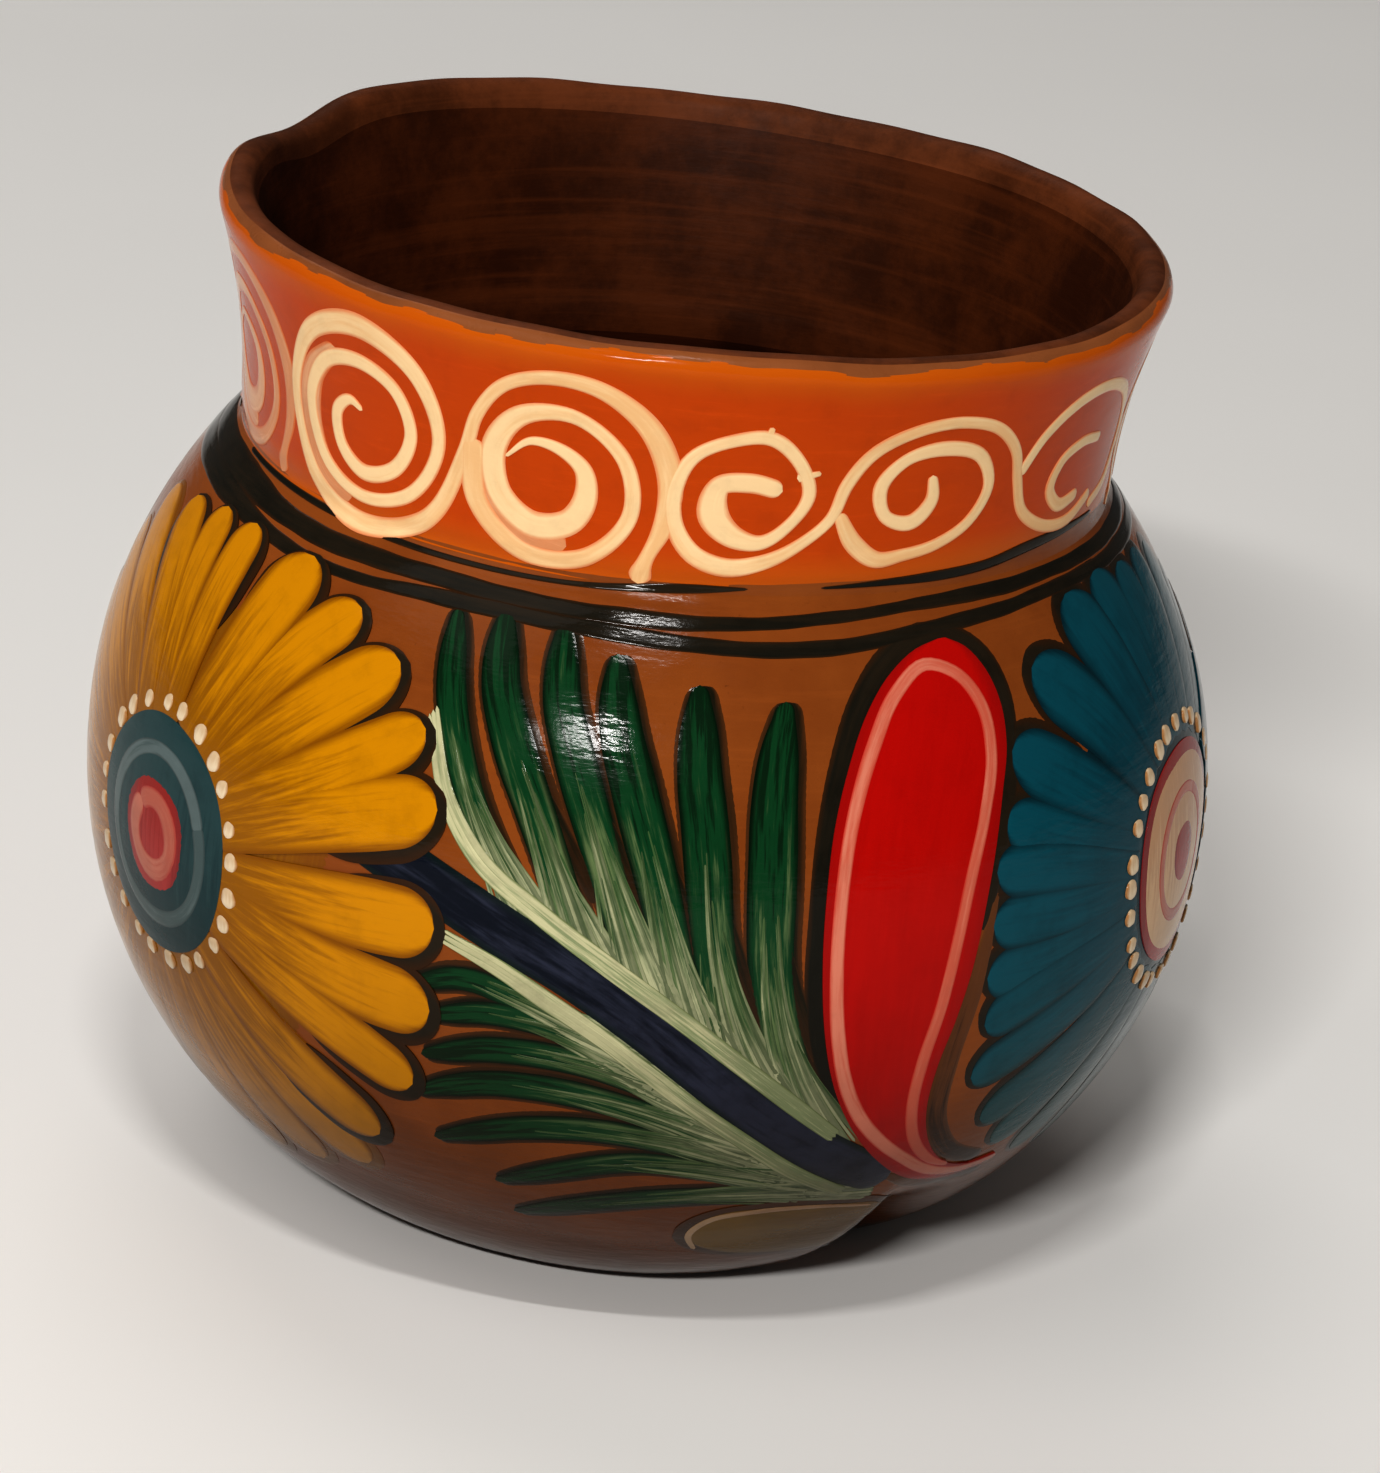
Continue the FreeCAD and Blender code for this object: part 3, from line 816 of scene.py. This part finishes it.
petals(blue, dark_line, BLUE_HOME, BLUE_CENTRE, BLUE_FAR_TIPS, 13.5, 3.7, (-0.3, 0.5), OVER_LEAF)
eye_red.disc(BLUE_HOME, BLUE_CENTRE, 12.9, uneven=0.012)
eye_tan.disc(BLUE_HOME, BLUE_CENTRE, 11.6, uneven=0.015, raise_by=0.06)
loop(eye_pink, BLUE_HOME, BLUE_CENTRE, 7.4, 0.7, 60, 0.04)
eye_red.disc(BLUE_HOME, BLUE_CENTRE, 3.4, uneven=0.03, raise_by=0.07)
dotted_ring(BLUE_HOME, BLUE_CENTRE, 15.3, 28, raise_by=OVER_LEAF)

BACK_HOME, BACK_CENTRE = math.radians(188), (0, 62)
back_tips = [(38.5 + 1.5 * math.sin(3 * k), 15.0 * k + 3) for k in range(24)]
ground.disc(BACK_HOME, BACK_CENTRE, 27.0, uneven=0.03)
petals(yellow, dark_line, BACK_HOME, BACK_CENTRE, back_tips, 13.0, 3.8, (0.5, -0.4))
teal_eye(BACK_HOME, BACK_CENTRE, (13.4, 9.6, 6.4, 4), (200, 20), 1.25)
dotted_ring(BACK_HOME, BACK_CENTRE, 14.8, 24)


# ---------------- feather leaves

stem = Coat("leaf_stem", "black_paint", 0.12, 0.03, paint(
    "stem_ink", (0.004, 0.006, 0.012), (0.024, 0.028, 0.048), uneven=0.5, fineness=0.8,
    edge=(0.006, 0.012, 0.012)))
leaves = Coat("leaf_blades", "green_paint", 0.03, 0.03, paint(
    "leaf_green", (0.005, 0.044, 0.014), (0.12, 0.17, 0.07), change=(0.38, 0.95),
    fineness=1.5, edge=(0.002, 0.008, 0.003), relief=0.07, tip=(0.003, 0.01, 0.004)))
pale = Coat("leaf_fringe", "green_paint", 0.06, 0.03, paint(
    "leaf_pale", (0.05, 0.1, 0.035), (0.42, 0.42, 0.25), change=(0, 0.85), streak=0.6, uneven=0.4,
    fineness=2.2, edge=(0.13, 0.165, 0.07), relief=0.06, vary=0.8))
ribs = Coat("leaf_ribs", "green_paint", 0.15, 0.03, paint(
    "leaf_rib", (0.5, 0.48, 0.28), (0.22, 0.26, 0.13), change=(0.1, 0.95), streak=0.9, uneven=0.6,
    fineness=2.4, edge=(0.16, 0.19, 0.08), vary=0.3))
smears = Coat("leaf_shadows", "black_paint", 0.0, 0.03, paint(
    "leaf_shadow", (0.012, 0.01, 0.005), (0.03, 0.014, 0.006), uneven=0.4, fineness=1.4,
    edge=(0.07, 0.024, 0.007)))

# Leaflets from the tip to the stem: (x, s) points and the greatest half width.
UPPER_LEAFLETS = (
    (((-17.2, 98.2), (-16.6, 90), (-14.6, 83), (-11.5, 76.5), (-7.5, 70.5), (-4, 65)), 1.9),
    (((-11.7, 99.3), (-11.3, 92), (-9.2, 86), (-5.5, 78.5), (-1, 69), (2.5, 61)), 2.4),
    (((-5.2, 99.3), (-4.4, 91), (-1.8, 84), (2, 75), (6, 65), (9.5, 56.5)), 2.3),
    (((0.8, 96.5), (1.8, 90), (4.6, 82), (7.8, 73.5), (11.6, 62), (15.5, 52)), 2.5),
    (((9.8, 94), (10.8, 86), (12.8, 77), (14.6, 67), (18, 55.5), (22.5, 45.5)), 2.6),
    (((19.2, 92.6), (19.3, 84), (20.3, 74), (21.4, 63), (25, 50.5), (30.5, 39)), 2.8),
)
LOWER_LEAFLETS = (
    (((-17.5, 57), (-11.5, 59), (-5, 57.6), (2, 55), (8, 53)), 1.5),
    (((-15.5, 53.5), (-8.5, 55.4), (0, 54.6), (7, 51.6), (13, 49)), 1.5),
    (((-15.8, 48.3), (-8, 50.8), (1, 51), (10, 48.2), (16, 45.2), (21, 42.5)), 1.8),
    (((-16.5, 42.8), (-9, 46), (1, 46.6), (11, 44.2), (20, 40.2), (27, 37)), 1.9),
    (((-14, 36.3), (-5, 40.2), (4, 41.6), (13, 40.2), (23, 36.8), (32, 33.4)), 1.9),
    (((-7, 30.5), (0, 34.2), (8, 37), (17, 36.2), (26, 34), (34, 31.6)), 1.8),
    (((-5, 24.3), (3, 28.2), (12, 31), (21, 31.8), (29, 31.4), (36, 30.4)), 1.8),
)


def swelling(points, half, start=0.45, end=0.8, peak=0.35):
    """Give stroke points a half width that rises to a peak and falls again."""
    widths = np.interp(np.linspace(0, 1, len(points)), (0, peak, 1), (start * half, half, end * half))
    return [(x, s, w) for (x, s), w in zip(points, widths)]


def leaflet_shape(points, half):
    """A leaflet's stroke: pointed at its tip, fullest before the middle, narrower at the stem."""
    line = profile_line(np.array(points, float), 11)
    widths = np.interp(np.linspace(0, 1, 11), (0, 0.06, 0.16, 0.36, 0.65, 1),
                       (0.3, 0.68, 0.9, 1, 0.85, 0.6))
    return [(x, s, w * half) for (x, s), w in zip(line, widths)]


def sub_line(points, start, end, offset, count=4):
    """Part of a line, moved sideways; the sideways step closes up towards the start of the part."""
    line = profile_line(np.array(points, float), 60)
    across = np.gradient(line, axis=0)
    across = np.stack([-across[:, 1], across[:, 0]], axis=1) / np.linalg.norm(across, axis=1, keepdims=True)
    picks = np.linspace(start, end, count)
    place = np.interp(picks, np.linspace(0, 1, 60), np.arange(60))
    x, s = (np.interp(place, np.arange(60), line[:, k]) for k in (0, 1))
    nx, ns = (np.interp(place, np.arange(60), across[:, k]) for k in (0, 1))
    spread = offset * np.linspace(0.35, 1.0, count)
    return [(a + b * d, c + e * d) for a, b, c, e, d in zip(x, nx, s, ns, spread)]


def feather_leaf(home):
    """A long feather leaf: an inky stem, pale ribs beside it, and leaflets brushed out to both sides."""
    stem.stroke(home, (
        (-35, 73.4, 0.5), (-28, 72.4, 2.2), (-21, 70.6, 2.9), (-15, 68.4, 2.9), (-8, 65.4, 2.9),
        (0, 61.6, 2.7), (8, 56.6, 2.8), (15, 50.8, 2.8), (22, 44.6, 3), (30, 38, 3.4), (37.5, 32.6, 2.9)),
        ends=(0.6, 0.8))
    for bristle in (-1, 0, 1):
        aside, thick = 0.5 * bristle, 0.8 - 0.2 * abs(bristle)
        upper = (
            (-18.2, 87, 0.35), (-15.2, 78, 0.75), (-11, 72.6, 0.85), (-4, 68, 0.9), (4, 63, 0.9),
            (12, 57.6, 0.85), (20, 51.2, 0.85), (26, 45.8, 0.9), (30.5, 41.4, 0.6))
        lower = (
            (-14.5, 63.6, 0.3), (-8, 61.2, 0.7), (-2, 58, 0.85), (4, 54.4, 0.8), (9, 50.6, 0.8),
            (14, 46.4, 0.8), (20, 41.3, 0.8), (26, 35.8, 0.85), (32, 31.2, 0.6))
        for line in (upper, lower):
            shifted = [(x + 0.7 * aside, s + aside, w * thick) for x, s, w in line]
            ribs.stroke(home, shifted, ends=(1, 1.5), raise_by=0.01 * abs(bristle))
    for group, (leaflets, reach) in enumerate(((UPPER_LEAFLETS, 0.46), (LOWER_LEAFLETS, 0.34))):
        for number, (points, half) in enumerate(leaflets):
            leaves.stroke(home, leaflet_shape(points, half), ends=(1, 0.4),
                          raise_by=0.006 * (number * 3 % 5))
            for thread in range(13):
                spot = thread / 6.0 - 1.0
                wander = math.sin(7.3 * thread + 2.9 * number + group)
                start = reach + 0.2 * abs(spot) ** 1.5 + 0.12 * wander
                line = sub_line(points, start, 1.0, spot * (half + 1.5) + 0.25 * wander)
                width = 0.34 + 0.14 * math.sin(3.1 * thread + number)
                raised = 0.005 * (thread % 4)
                pale.stroke(home, swelling(line, width, 0.25, 1.0, 0.7), ends=(3, 0.6), raise_by=raised,
                            across=7)
    for points, half in UPPER_LEAFLETS + LOWER_LEAFLETS:
        line = [(x + 0.2, s + 0.15, w + 0.75) for x, s, w in leaflet_shape(points, half)]
        smears.stroke(home, line, ends=(0.8, 1))
    for points, half in UPPER_LEAFLETS[1:]:
        line = sub_line(points, 0.4, 0.8, half + 0.7)
        smears.stroke(home, swelling(line, 1.2, 0.25, 0.7, 0.5), ends=(2, 1), raise_by=0.01)


feather_leaf(math.radians(-5))
feather_leaf(math.radians(121))


# ---------------- red leaves

red_blade = Coat("red_leaf_blades", "red_paint", 0.19, 0.04, paint(
    "paint_red", (0.42, 0.004, 0.002), (0.36, 0.003, 0.0015), change=(0, 1), streak=0.3, uneven=0.16,
    fineness=0.8, edge=(0.3, 0.004, 0.003)))
red_line = Coat("red_leaf_lines", "red_paint", 0.23, 0.04, paint(
    "paint_pink", (0.62, 0.2, 0.13), (0.54, 0.11, 0.065), uneven=0.2, fineness=1.4,
    edge=(0.46, 0.035, 0.022)))
red_dark = Coat("red_leaf_outlines", "black_paint", 0.0, 0.06, black_skin)
red_shade = Coat("red_leaf_shadows", "black_paint", 0.02, 0.05, paint(
    "leaf_brown", (0.11, 0.038, 0.012), (0.03, 0.013, 0.006), change=(0.35, 0.9), streak=0.4,
    edge=(0.12, 0.04, 0.01)))


def red_leaf(home):
    """A long red leaf with a pink line just inside its edge and a black outline round its top."""
    left = (
        (3.5, 98.4), (0.5, 97.6), (-3.2, 95.2), (-6.8, 91), (-9.6, 85.5), (-11.6, 79.5), (-12.7, 72),
        (-12.8, 64), (-11.6, 56), (-9.2, 49), (-5.6, 42.8), (-0.6, 36.8), (4.6, 32.4), (11, 29.6), (18, 29.6))
    right = (
        (4.5, 98.4), (6.6, 97.3), (8.8, 94.6), (10.2, 90.5), (10.2, 86), (9, 81), (7.8, 75), (6.7, 69),
        (5.6, 62), (4.4, 56), (3.3, 50), (3.6, 44), (6, 38), (10.5, 33.2), (18, 30.6))
    red_blade.between(home, left, right, rows=90, across=21)
    red_line.stroke(home, (
        (19.5, 31, 0.6), (14, 30.8, 0.8), (8, 32.8, 0.85), (3, 36.4, 0.85), (-1.2, 40, 0.85),
        (-5.2, 44.6, 0.85), (-8.2, 50, 0.85), (-10.1, 56, 0.85), (-11.2, 64, 0.8), (-11, 72, 0.8),
        (-9.6, 80, 0.8), (-6.6, 87.5, 0.85), (-3, 93, 0.8), (1.2, 95.8, 0.75), (5, 94.3, 0.8),
        (7.6, 90.2, 0.85), (7.9, 85.5, 0.85), (6.4, 79, 0.8), (4.6, 72.6, 0.8), (3.3, 66, 0.8),
        (2.1, 58, 0.8), (1.1, 51, 0.85), (1.4, 45, 0.8), (3.6, 39, 0.75), (7.4, 34.8, 0.6), (10.5, 33, 0.3)),
        step=0.6)
    red_dark.stroke(home, (
        (-5, 42.5, 0.8), (-8.6, 48.6, 1.7), (-11.6, 55, 1.8), (-12.9, 62, 1.8), (-12.9, 70, 1.8),
        (-12, 78, 1.9), (-9.9, 85.4, 2), (-6.6, 92, 2.1), (-2.4, 96.6, 2.1), (1.6, 98.6, 2),
        (5.2, 98.1, 1.9), (8.4, 95.8, 1.8), (10.3, 91.4, 1.8), (10.5, 85.6, 1.5), (9.6, 79, 1.2),
        (8, 72, 0.9), (6.6, 66, 0.5)))
    red_shade.stroke(home, ((8.2, 70, 0.4), (6.4, 60, 1.2), (4.8, 50, 1.4), (5.6, 42, 1.4), (9.4, 36, 1.4),
                            (16, 32.2, 1.2)))
    red_shade.stroke(home, ((2, 33.2, 0.5), (9, 29.2, 1.4), (19, 27.6, 1.3)))


red_leaf(math.radians(30))
red_leaf(math.radians(238))


# ---------------- petals near the foot

ochre = Coat("ochre_petals", "yellow_paint", 0.14, 0.03, paint(
    "petal_ochre", (0.23, 0.115, 0.008), (0.19, 0.085, 0.006), streak=0.4, fineness=0.9))
ochre_rim = Coat("ochre_petal_rims", "yellow_paint", 0.17, 0.03, tan_skin)
ochre_dark = Coat("ochre_petal_shadows", "black_paint", 0.10, 0.03, paint(
    "foot_brown", (0.06, 0.022, 0.008), (0.03, 0.013, 0.007), streak=0.4,
    edge=(0.09, 0.03, 0.01)))


def foot_petal(home):
    """A broad petal that lies along the foot of the pot."""
    ochre_dark.stroke(home, (
        (12.6, 21.6, 5.2), (20, 22.2, 7.2), (28, 22.2, 8), (40, 21.4, 7)), ends=(1, 0.6))
    ochre.stroke(home, ((14.2, 22, 4.4), (20, 22.4, 6), (28, 22.2, 6.6), (39, 21.6, 5.8)), ends=(1, 0.6))
    ochre_rim.stroke(home, ((15, 18.2, 0.3), (14.4, 22.5, 0.4), (16.8, 26.4, 0.45), (22, 28.2, 0.45),
                            (30, 28.4, 0.35), (36, 27.2, 0.2)))


foot_petal(math.radians(-5))
foot_petal(math.radians(121))

for coat in (dark_line, ground, yellow, blue_ground, blue, eye_teal, eye_tan, eye_grey, eye_red, eye_pink,
             dots, smears, leaves, pale, ribs, stem, red_dark, red_shade, red_blade, red_line, ochre_dark,
             ochre, ochre_rim):
    coat.make()


# ---------------- floor, lights, camera

def pale_floor():
    r = Recipe("floor_pale")
    cloud = r.noise(r.place(), 0.004, 3.0, 0.5)
    r.join(r.mix(r.ramp(cloud, 0.3, 0.7), (0.86, 0.85, 0.83), (0.83, 0.82, 0.80)),
           r.shader.inputs["Base Color"])
    r.join(0.75, r.shader.inputs["Roughness"])
    return r.material


def floor_disc(radius):
    mesh = bpy.data.meshes.new("floor")
    corners = [(radius * math.cos(TURN * k / 64), radius * math.sin(TURN * k / 64), 0.0) for k in range(64)]
    mesh.from_pydata(corners, [], [tuple(range(64))])
    mesh.materials.append(pale_floor())
    made = bpy.data.objects.new("floor", mesh)
    bpy.context.scene.collection.objects.link(made)


def softbox(name, azimuth, elevation, distance, width, height, power, colour=(1.0, 0.98, 0.96)):
    """A flat lamp that faces the pot; azimuth is measured like the pot's own."""
    a, e = math.radians(azimuth), math.radians(elevation)
    target = Vector((0.0, 0.0, 0.06))
    away = Vector((math.sin(a) * math.cos(e), -math.cos(a) * math.cos(e), math.sin(e)))
    light = bpy.data.lights.new(name, "AREA")
    light.shape = "RECTANGLE"
    light.size, light.size_y = width, height
    light.energy = power
    light.color = colour
    lamp = bpy.data.objects.new(name, light)
    lamp.location = target + away * distance
    lamp.rotation_euler = (-away).to_track_quat("-Z", "Y").to_euler()
    bpy.context.scene.collection.objects.link(lamp)


def camera(place, aim, roll, lens):
    data = bpy.data.cameras.new("camera")
    data.lens = lens
    data.sensor_width = 36.0
    data.clip_start, data.clip_end = 0.01, 30.0
    made = bpy.data.objects.new("camera", data)
    direction = (Vector(aim) - Vector(place)) * MM
    turn = direction.to_track_quat("-Z", "Y").to_matrix() @ Matrix.Rotation(math.radians(roll), 3, "Z")
    made.matrix_world = Matrix.Translation(Vector(place) * MM) @ turn.to_4x4()
    bpy.context.scene.collection.objects.link(made)
    bpy.context.scene.camera = made


floor_disc(5.0)
softbox("key_light", -12, 31, 1.6, 0.31, 0.047, 14.0)
softbox("upper_light", -6, 57, 1.6, 0.27, 0.03, 6.4)
softbox("left_light", -58, 52, 2.2, 1.3, 1.0, 5.4, (1.0, 0.96, 0.92))
softbox("back_light", 205, 56, 2.0, 1.2, 1.2, 7.5)
world = bpy.data.worlds.new("room")
world.use_nodes = True
world.node_tree.nodes["Background"].inputs["Color"].default_value = (1.0, 0.98, 0.95, 1.0)
world.node_tree.nodes["Background"].inputs["Strength"].default_value = 0.09
bpy.context.scene.world = world
bpy.context.scene.view_settings.view_transform = "Standard"
bpy.context.scene.view_settings.look = "Medium High Contrast"
camera((0.0, -605.14, 287.39), (4.896, 0.921, 52.504), 5.793, 136.17)
